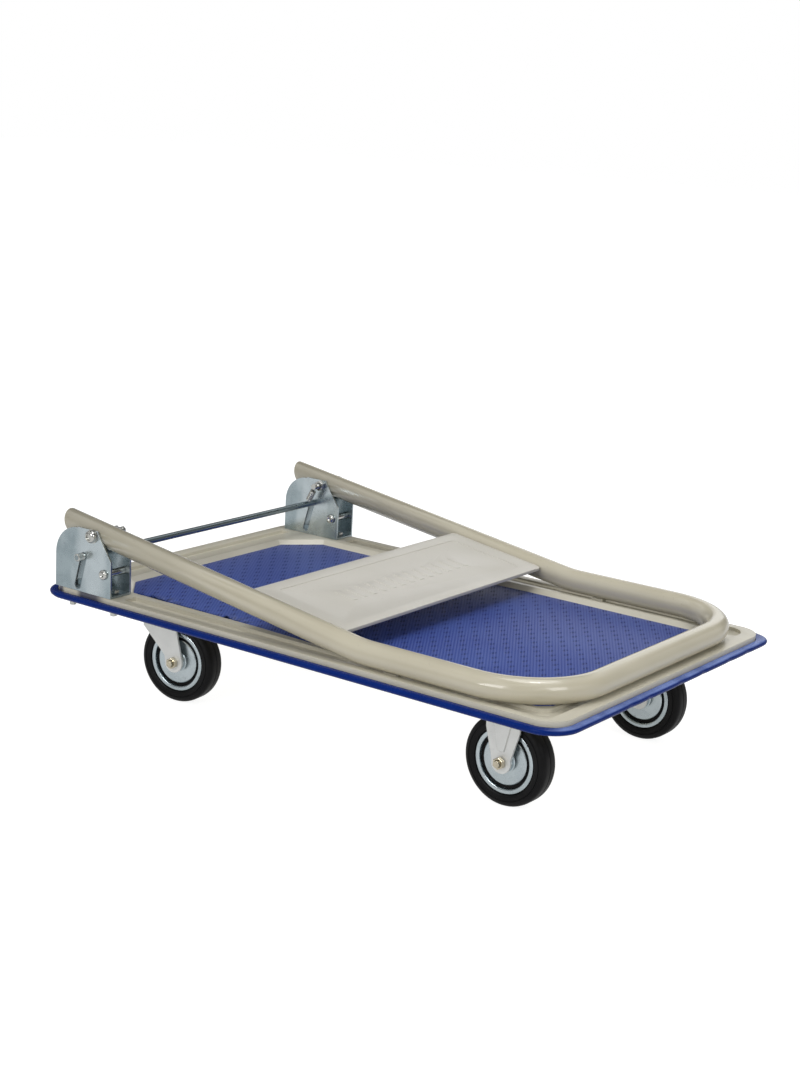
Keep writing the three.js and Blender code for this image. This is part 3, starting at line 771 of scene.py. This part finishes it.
@dataclass
class HingeBracket:
    """One U bracket with its pivot bolt, stop pin, base bolts and foot bar spring."""

    side: Side
    body: str = "deck"
    spring_turns: int = 13
    wire: float = 0.65
    slot_run: Vector = field(default_factory=lambda: Vector((-0.2571, 0.0, -0.9664)) * 38.0)

    def build(self) -> None:
        """Make every piece of the bracket."""
        name = f"hinge_bracket_{self.side.label}"
        # The plate's eased edges take the fork finish as a painted highlight.
        Form().copy_of(name, 0.55, 2, 30.0, True).finish(
            f"{name}_plate", self.body, Finish.ZINC, [name], 20.0, False, Finish.FORK)
        self.pivot()
        self.stop()
        for end in End:
            self.base_bolt(end)
        self.spring()
        self.slot_lip()

    def slot_lip(self) -> None:
        """Burr raised round the slot on the plate's outer face."""
        bar = centre_of("foot_bar")
        start = Vector((bar.x, 0.0, bar.z)) / MM
        end = start + self.slot_run
        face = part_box(f"hinge_bracket_{self.side.label}")[1 if self.side is Side.LEFT else 0].y / MM
        out = face + self.side.value * 0.35
        form = Form()
        section = ((4.5, face), (5.2, face), (4.9, out), (4.6, out))
        rings = [self._stadium(form, start, end, reach, y) for reach, y in section]
        for first, second in zip(rings, rings[1:] + rings[:1]):
            bmesh.ops.bridge_loops(form.bm, edges=first + second)
        # The burr takes the zinc painted darker as shade.
        form.finish(f"slot_lip_{self.side.label}", self.body, Finish.ROD)

    @staticmethod
    def _stadium(form: Form, start: Vector, end: Vector, reach: float, y: float) -> list:
        """Closed loop at a constant distance from a line, in millimetres."""
        steps = 12
        run = end - start
        heading = math.atan2(run.z, run.x)
        verts = []
        for centre, first in ((end, -0.25), (start, 0.25)):
            for step in range(steps + 1):
                angle = heading + (first + 0.5 * step / steps) * FULL_TURN
                x, z = centre.x + reach * math.cos(angle), centre.z + reach * math.sin(angle)
                verts.append(form.bm.verts.new((x * MM, y * MM, z * MM)))
        return [form.bm.edges.new((a, b)) for a, b in zip(verts, verts[1:] + verts[:1])]

    def _outward(self, node: str) -> Matrix:
        """Placing at a node's centre line with +Y pointing away from the deck."""
        middle = centre_of(node)
        spin = Matrix.Rotation(0.0 if self.side is Side.LEFT else math.pi, 4, "Z")
        return Matrix.Translation((middle.x, self.side.value * LEG_Y * MM, middle.z)) @ spin

    def pivot(self) -> None:
        """Domed pivot bolt and its nut."""
        label = self.side.label
        place = self._outward(f"pivot_bolt_{label}")
        face = 17.3
        shank = [(0.0, -34.0), (3.6, -34.0), (4.0, -33.6), (4.0, -31.0), (3.0, -30.5), (3.0, -28.0),
                 (4.0, -27.5)]
        head = [(4.0, 0.0), (8.3, 0.0), (8.3, 0.9), (6.6, 1.0), (7.5, 1.4), (7.6, 3.4), (6.9, 5.4),
                (5.6, 6.6), (4.4, 7.0), (3.9, 6.6), (3.6, 5.2), (0.0, 4.9)]
        form = Form().turn([*shank, *((r, face + y) for r, y in head)], 36, False, place)
        form.finish(f"pivot_bolt_{label}_turned", self.body, Finish.BRIGHT, [f"pivot_bolt_{label}"])
        nut = f"pivot_nut_{label}"
        Form().copy_of(nut, 0.6).finish(f"{nut}_hex", self.body, Finish.BRIGHT, [nut], 18.0, mend=False)

    def stop(self) -> None:
        """Riveted cross pin with dimpled heads and a sleeve."""
        label = self.side.label
        half = [(4.5, 14.4), (3.0, 14.5), (3.0, 17.3), (5.9, 17.3), (6.0, 18.6), (5.4, 19.9), (4.2, 20.6),
                (2.9, 20.7), (2.2, 20.2), (1.2, 19.6), (0.0, 19.4)]
        profile = [(r, -y) for r, y in reversed(half)] + half
        Form().turn(profile, 32, False, self._outward(f"stop_pin_{label}")).finish(
            f"stop_pin_{label}_turned", self.body, Finish.BRIGHT, [f"stop_pin_{label}"])

    def base_bolt(self, end: End) -> None:
        """Bolt and nut that hold the bracket's base to the tray."""
        for kind in ("bolt", "nut"):
            name = f"bracket_{kind}_{end.value}_{self.side.label}"
            Form().copy_of(name, 0.5).finish(
                f"{name}_hex", self.body, Finish.BRIGHT, [name], 18.0, mend=False)

    def spring(self) -> None:
        """Wound extension spring from the pivot bolt down to the foot bar."""
        label = self.side.label
        top = centre_of(f"pivot_bolt_{label}")
        low = centre_of("foot_bar")
        across = centre_of(f"bar_spring_{label}").y
        start = Vector((top.x, across, top.z))
        run = Vector((low.x, across, low.z)) - start
        aim = run.to_track_quat("Z", "Y").to_matrix().to_4x4()
        place = Matrix.Translation(start) @ aim
        form = Form()
        coil = 3.5
        rise = 16.0 / self.spring_turns
        ring = bmesh.ops.create_circle(form.bm, cap_ends=False, radius=self.wire * MM, segments=8, matrix=(
            Matrix.Translation((coil * MM, 0, 7.4 * MM)) @ Matrix.Rotation(math.pi / 2, 4, "X")))["verts"]
        edges = list({e for v in ring for e in v.link_edges})
        steps = self.spring_turns * 18
        for _ in range(steps):
            made = bmesh.ops.extrude_edge_only(form.bm, edges=edges)["geom"]
            verts = [g for g in made if isinstance(g, bmesh.types.BMVert)]
            edges = [g for g in made if isinstance(g, bmesh.types.BMEdge)]
            bmesh.ops.rotate(form.bm, cent=(0, 0, 0), verts=verts,
                             matrix=Matrix.Rotation(FULL_TURN * self.spring_turns / steps, 3, "Z"))
            bmesh.ops.translate(form.bm, vec=(0, 0, rise * self.spring_turns / steps * MM), verts=verts)
        bmesh.ops.holes_fill(form.bm, edges=[e for e in form.bm.edges if e.is_boundary], sides=8)
        length = run.length / MM
        for start_z, end_z in ((4.3, 7.6), (length - 7.4, length - 4.4)):
            form.prism(10, 0.9, start_z, end_z, Matrix.Rotation(math.pi / 2, 4, "X"))
        bmesh.ops.transform(form.bm, matrix=place, verts=form.bm.verts[:])
        form.finish(f"bar_spring_{label}_wire", self.body, Finish.BRIGHT, [f"bar_spring_{label}"], 60.0)


@dataclass
class FootBar:
    """Round bar that runs across the hinge end."""

    body: str = "foot_bar"

    def build(self) -> None:
        """Make the bar with eased ends."""
        low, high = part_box("foot_bar")
        radius = (high.z - low.z) / 2 / MM
        half = high.y / MM
        place = Matrix.Translation(centre_of("foot_bar"))
        profile = [(0.0, -half), (radius - 0.9, -half), (radius, -half + 0.9), (radius, half - 0.9),
                   (radius - 0.9, half), (0.0, half)]
        # The bar takes the zinc painted darker as shade.
        Form().turn(profile, 36, False, place).finish("foot_bar_rod", self.body, Finish.ROD, ["foot_bar"])
        for side in Side:
            sleeve = [(3.9, 230.7), (4.3, 230.7), (4.6, 231.2), (4.6, 233.6), (4.3, 234.0), (4.6, 234.4),
                      (4.6, 240.9), (3.9, 241.7), (3.0, 241.8), (2.6, 241.2), (0.0, 241.1), (0.0, 230.7)]
            Form().turn([(r, side.value * y) for r, y in sleeve], 32, True, place).finish(
                f"foot_bar_cap_{side.label}", self.body, Finish.BRIGHT)


@dataclass
class Handle:
    """Bent tube, pressed panel and the pads that it rests on."""

    body: str = "handle"
    radius: float = 14.0
    wall: float = 1.8
    pivot: tuple[float, float] = (-286.0, 206.0)
    knee: tuple[float, float] = (103.0, 149.5)
    knee_radius: float = 160.0
    crossbar_x: float = 340.6
    corner_radius: float = 92.0
    overrun: float = 56.5
    lower_overrun: float = 44.5

    def build(self) -> None:
        """Make every piece of the handle."""
        self.tube()
        Form().copy_of("handle_panel", 0.7, 3, 25.0).finish(
            "handle_panel_pressing", self.body, Finish.PANEL, ["handle_panel"], 20.0, mend=False)
        for side in Side:
            name = f"handle_rest_{side.label}"
            Form().copy_of(name, 0.9, 3).finish(f"{name}_pad", "deck", Finish.TRAY, [name], mend=False)

    def tube(self) -> None:
        """Tube swept from one lower end to the other, with slanted ends and an open bore."""
        run = Vector((self.knee[0] - self.pivot[0], 0.0, self.knee[1] - self.pivot[1]))
        slope = math.atan2(-run.z, run.x)
        down = run.normalized()
        knee_reach = self.knee_radius * math.tan(slope / 2)
        start = Vector((self.pivot[0], LEG_Y, self.pivot[1])) - down * self.overrun
        leg = (Vector((self.knee[0], LEG_Y, self.knee[1])) - start).length - knee_reach
        level = self.crossbar_x - self.corner_radius - self.knee[0] - knee_reach
        crossbar = 2 * (LEG_Y - self.corner_radius)
        up = Vector((0, 0, 1))
        form = Form()
        walk = TubeWalk(form, start * MM, down, self.radius * MM, 48)
        walk.straight(leg * MM).bend(up, self.knee_radius * MM, slope, 6).straight(level * MM)
        walk.bend(Vector((0, -1, 0)), self.corner_radius * MM, math.pi / 2, 24).straight(crossbar * MM)
        walk.bend(Vector((-1, 0, 0)), self.corner_radius * MM, math.pi / 2, 24).straight(level * MM)
        walk.bend(up, self.knee_radius * MM, slope, 6).straight(leg * MM)
        self._slant_ends(form, down)
        bmesh.ops.remove_doubles(form.bm, verts=form.bm.verts[:], dist=1e-6)
        bmesh.ops.recalc_face_normals(form.bm, faces=form.bm.faces[:])
        tube = form.finish("handle_tube_bent", self.body, Finish.CREAM, ["handle_tube"], 40.0, mend=False)
        wall = tube.modifiers.new("wall", "SOLIDIFY")
        wall.thickness = self.wall * MM
        wall.offset = -1.0

    def _slant_ends(self, form: Form, down: Vector) -> None:
        """Cut both lower ends to a slant.

        Args:
            form: The swept tube.
            down: Direction of the legs.
        """
        middle = (self.overrun + self.lower_overrun) / 2
        tilt = math.atan2(self.overrun - self.lower_overrun, 2 * self.radius)
        normal = Matrix.Rotation(-tilt, 3, "Y") @ down
        point = Vector((self.pivot[0], 0, self.pivot[1])) - down * middle
        bmesh.ops.bisect_plane(form.bm, geom=form.bm.verts[:] + form.bm.edges[:] + form.bm.faces[:],
                               plane_co=point * MM, plane_no=-normal, clear_outer=True)


@dataclass
class Wheel:
    """Tyre, disc, bush, axle and nut of one wheel."""

    side: Side
    end: End
    tyre_section: tuple[tuple[float, float], ...] = (
        (36.8, 10.8), (37.6, 12.2), (39.0, 12.9), (41.0, 13.3), (43.3, 13.5), (43.7, 12.8), (44.2, 12.8),
        (44.6, 13.4), (46.4, 13.0), (48.4, 12.0), (49.9, 10.5), (50.7, 8.6), (51.0, 6.4), (51.0, 0.7),
        (50.4, 0.3), (50.4, 0.0))
    disc_section: tuple[tuple[float, float], ...] = (
        (6.5, 14.4), (10.4, 14.4), (10.9, 13.9), (12.0, 10.7), (13.0, 10.1), (26.2, 10.1), (27.1, 9.4),
        (27.4, 4.0),
        (30.8, 4.0), (31.1, 9.8), (31.7, 11.5), (32.6, 12.0), (35.4, 12.0), (36.2, 11.6), (36.4, 10.6))
    # Black rubber band in the bottom of the disc's groove, as painted shade for the groove.
    groove_band: tuple[tuple[float, float], ...] = ((27.45, 4.1), (27.45, 6.4), (30.75, 7.2), (30.75, 4.1))

    def build(self) -> None:
        """Make every piece of the wheel."""
        tag = f"{self.end.value}_{self.side.label}"
        wheel = f"wheel_{tag}"
        carrier = "deck" if self.end is End.FRONT else f"swivel_{self.side.label}"
        place = self.place(tag)
        tyre = Form().turn(self._mirrored(self.tyre_section), 96, True, place)
        # A black band in each face's groove, as painted shade.
        for face in (1, -1):
            tyre.turn([(r, face * y) for r, y in self.groove_band], 72, True, place)
        tyre.finish(f"tyre_{tag}_tread", wheel, Finish.TYRE, [f"tyre_{tag}"], 30.0)
        Form().turn(self._mirrored(self.disc_section), 72, True, place).finish(
            f"wheel_disc_{tag}_pressing", wheel, Finish.DISC, [f"wheel_disc_{tag}"], 30.0)
        Form().turn([(4.3, -15.6), (6.0, -15.6), (6.0, 15.6), (4.3, 15.6)], 32, True, place).finish(
            f"hub_bush_{tag}_sleeve", wheel, Finish.BUSH, [f"hub_bush_{tag}"], 30.0)
        for kind in ("axle", "axle_nut"):
            name = f"{kind}_{tag}"
            Form().copy_of(name, 0.5).finish(f"{name}_hex", carrier, Finish.AXLE, [name], 18.0, mend=False)

    def place(self, tag: str) -> Matrix:
        """Placing of the wheel's centre and axle."""
        joint = next(j for j in frame["joints"] if j["name"] == f"wheel_spin_{tag}")
        axis = Vector(joint["axis"])
        turn = Matrix.Rotation(math.atan2(-axis.x, axis.y), 4, "Z")
        return Matrix.Translation(joint["pos_m"]) @ turn

    @staticmethod
    def _mirrored(half: Sequence[tuple[float, float]]) -> list[tuple[float, float]]:
        """Section with both faces."""
        return [*half, *((r, -y) for r, y in reversed(half) if y > 0)]


@dataclass
class Casters:
    """Forks, plates and kingpins of the four casters."""

    def build(self) -> None:
        """Make every piece of the casters and their wheels."""
        for side in Side:
            label = side.label
            self.refine(f"fixed_fork_{label}", "deck", Finish.FORK)
            self.refine(f"swivel_plate_{label}", "deck", Finish.ZINC)
            self.refine(f"swivel_fork_{label}", f"swivel_{label}", Finish.FORK)
            self.refine(f"kingpin_{label}", "deck", Finish.BRIGHT)
            for end in End:
                Wheel(side, end).build()

    @staticmethod
    def refine(name: str, body: str, look: Finish) -> None:
        """Ease the edges of one pressed piece and give them a painted highlight in bright steel."""
        # The eased edges take bright steel as a painted highlight.
        Form().copy_of(name, 0.5, 2, 30.0, True).finish(
            f"{name}_pressing", body, look, [name], 20.0, False, Finish.BRIGHT)


# ---------------------------------------------------------------------------
# Studio
# ---------------------------------------------------------------------------


@dataclass
class Studio:
    """Floor, soft lights and camera."""

    camera_at: tuple[float, float, float] = (1.25161, -1.74821, 0.74760)
    yaw: float = 35.79
    pitch: float = -14.04
    roll: float = 3.06
    lens: float = 62.04
    low_sky: float = 0.26
    high_sky: float = 0.80
    patch_scale: float = 2.6
    patch_low: float = 0.12
    lights: tuple[tuple[str, tuple[float, float, float], float, float], ...] = field(default=(
        ("overhead", (0.2, 0.3, 2.4), 1.2, 14.0),
        ("overhead_small", (0.50, 0.10, 2.6), 0.34, 4.5),
        ("front", (2.4, -0.7, 1.5), 0.9, 11.0),
        ("left_small", (-0.37, -2.53, 0.95), 0.34, 3.5),
        ("camera_side", (0.2, -2.6, 1.3), 1.0, 15.0),
        ("back", (-1.0, 3.0, 1.25), 1.6, 5.0)))

    def build(self) -> None:
        """Make the camera, the lights, the surroundings and the floor."""
        self.camera()
        self.sky()
        self.floor()
        for name, at, size, power in self.lights:
            self.light(name, Vector(at), size, power)

    def camera(self) -> None:
        """Camera at the usual three-quarter view."""
        data = bpy.data.cameras.new("camera")
        data.sensor_width = 36.0
        data.lens = self.lens
        data.clip_start, data.clip_end = 0.05, 60.0
        made = bpy.data.objects.new("camera", data)
        bpy.context.scene.collection.objects.link(made)
        heading, tilt, lean = (math.radians(angle) for angle in (self.yaw, 90.0 + self.pitch, self.roll))
        made.matrix_world = (
            Matrix.Translation(self.camera_at) @ Matrix.Rotation(heading, 4, "Z")
            @ Matrix.Rotation(tilt, 4, "X") @ Matrix.Rotation(lean, 4, "Z"))
        bpy.context.scene.camera = made

    def sky(self) -> None:
        """Pale surroundings, darker low down, with soft patches for the reflections."""
        world = bpy.data.worlds.new("surroundings")
        world.use_nodes = True
        nodes, links = world.node_tree.nodes, world.node_tree.links
        shade = nodes["Background"]
        height = nodes.new("ShaderNodeSeparateXYZ")
        links.new(nodes.new("ShaderNodeTexCoord").outputs["Generated"], height.inputs[0])
        rise = nodes.new("ShaderNodeMapRange")
        self._span(rise, (-0.1, 0.9), (self.low_sky, self.high_sky))
        links.new(height.outputs["Z"], rise.inputs["Value"])
        patches = nodes.new("ShaderNodeTexNoise")
        patches.inputs["Scale"].default_value = self.patch_scale
        patches.inputs["Detail"].default_value = 0.0
        contrast = nodes.new("ShaderNodeMapRange")
        self._span(contrast, (0.42, 0.56), (self.patch_low, 1.25))
        links.new(patches.outputs[0], contrast.inputs["Value"])
        patched = nodes.new("ShaderNodeMath")
        patched.operation = "MULTIPLY"
        links.new(rise.outputs["Result"], patched.inputs[0])
        links.new(contrast.outputs["Result"], patched.inputs[1])
        seen = nodes.new("ShaderNodeMix")
        seen.inputs["B"].default_value = 1.0
        links.new(nodes.new("ShaderNodeLightPath").outputs["Is Camera Ray"], seen.inputs["Factor"])
        links.new(patched.outputs["Value"], seen.inputs["A"])
        links.new(seen.outputs["Result"], shade.inputs["Strength"])
        shade.inputs["Color"].default_value = (1.0, 1.0, 1.0, 1.0)
        bpy.context.scene.world = world
        bpy.context.scene.view_settings.view_transform = "Standard"

    @staticmethod
    def _span(node: Node, source: tuple[float, float], target: tuple[float, float]) -> None:
        """Set the two ranges of a Map Range node."""
        for label, value in zip(("From Min", "From Max", "To Min", "To Max"), (*source, *target)):
            node.inputs[label].default_value = value

    def floor(self) -> None:
        """Plain floor under the wheels."""
        form = Form()
        bmesh.ops.create_grid(form.bm, x_segments=2, y_segments=2, size=12.0)
        mesh = bpy.data.meshes.new("floor")
        form.bm.to_mesh(mesh)
        form.bm.free()
        mesh.materials.append(StudioSurface().build())
        made = bpy.data.objects.new("floor", mesh)
        bpy.context.scene.collection.objects.link(made)

    def light(self, name: str, at: Vector, size: float, power: float) -> None:
        """Square area light aimed at the deck."""
        data = bpy.data.lights.new(name, "AREA")
        data.shape, data.size, data.energy = "SQUARE", size, power
        made = bpy.data.objects.new(name, data)
        bpy.context.scene.collection.objects.link(made)
        aim = (Vector((0, 0, 0.1)) - at).to_track_quat("-Z", "Y").to_matrix().to_4x4()
        made.matrix_world = Matrix.Translation(at) @ aim


def dress_frame() -> None:
    """Give every frame node its finish, for those that stay in view."""
    slots = {entry["node"]: entry["material_slot"] for entry in frame["record"]["subparts"]}
    looks = {look.slot: look for look in reversed(Finish)}
    for name, node in frame["nodes"].items():
        node.data.materials.clear()
        node.data.materials.append(looks[slots[name]].material)


def main() -> None:
    """Build the truck."""
    logging.basicConfig(level=logging.INFO, format="%(message)s")
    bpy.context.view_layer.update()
    Studio().build()
    dress_frame()
    Deck().build()
    for side in Side:
        HingeBracket(side).build()
    FootBar().build()
    Handle().build()
    Casters().build()


if __name__ == "__main__":
    main()
